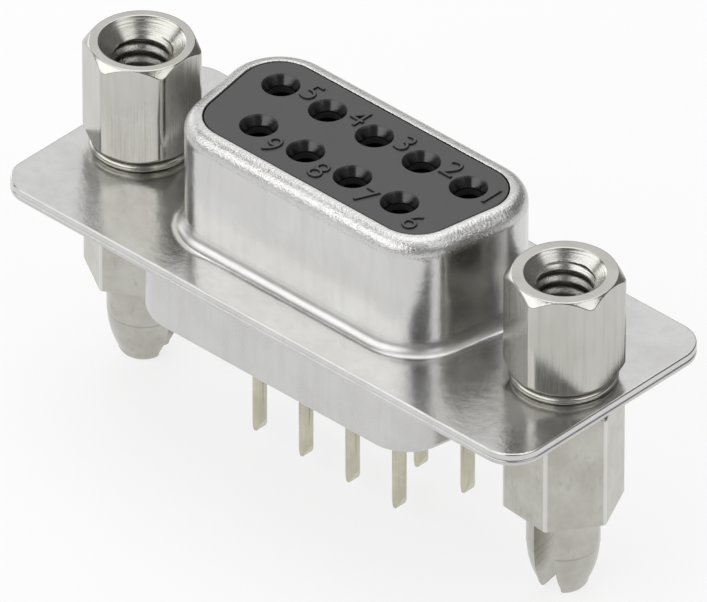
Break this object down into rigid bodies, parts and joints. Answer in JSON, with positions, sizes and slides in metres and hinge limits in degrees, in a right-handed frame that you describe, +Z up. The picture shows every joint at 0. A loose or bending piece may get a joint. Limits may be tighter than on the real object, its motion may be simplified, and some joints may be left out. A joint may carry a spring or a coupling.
{
  "type": "d-sub connector",
  "caption": "D-shaped metal-shelled socket connector on a flat flange, with hexagonal screwlocks above, and split standoff pegs and straight solder tails below for a circuit board.",
  "frame": {"origin": "the circuit board's top face, midway between the two standoffs", "axes": "+Z up out of the mating face, +X along the flange, +Y towards the row of five contacts"},
  "size_m": [0.0308, 0.0124, 0.0167],
  "materials": {
    "front_shell_tin": "bright tin plate",
    "rear_shell_tin": "satin tin plate",
    "insulator": "matte moulded, glass filled",
    "contact_metal": "satin tin plate",
    "screwlock_nickel": "bright nickel plate",
    "standoff_nickel": "satin nickel plate"
  },
  "bodies": {
    "root": {"front_shell": "front_shell_tin", "rear_shell": "rear_shell_tin", "front_insulator": "insulator", "rear_insulator": "insulator", "contact_1": "contact_metal", "contact_2": "contact_metal", "contact_3": "contact_metal", "contact_4": "contact_metal", "contact_5": "contact_metal", "contact_6": "contact_metal", "contact_7": "contact_metal", "contact_8": "contact_metal", "contact_9": "contact_metal", "screwlock_left": "screwlock_nickel", "screwlock_right": "screwlock_nickel", "standoff_left": "standoff_nickel", "standoff_right": "standoff_nickel"}
  },
  "joints": []
}
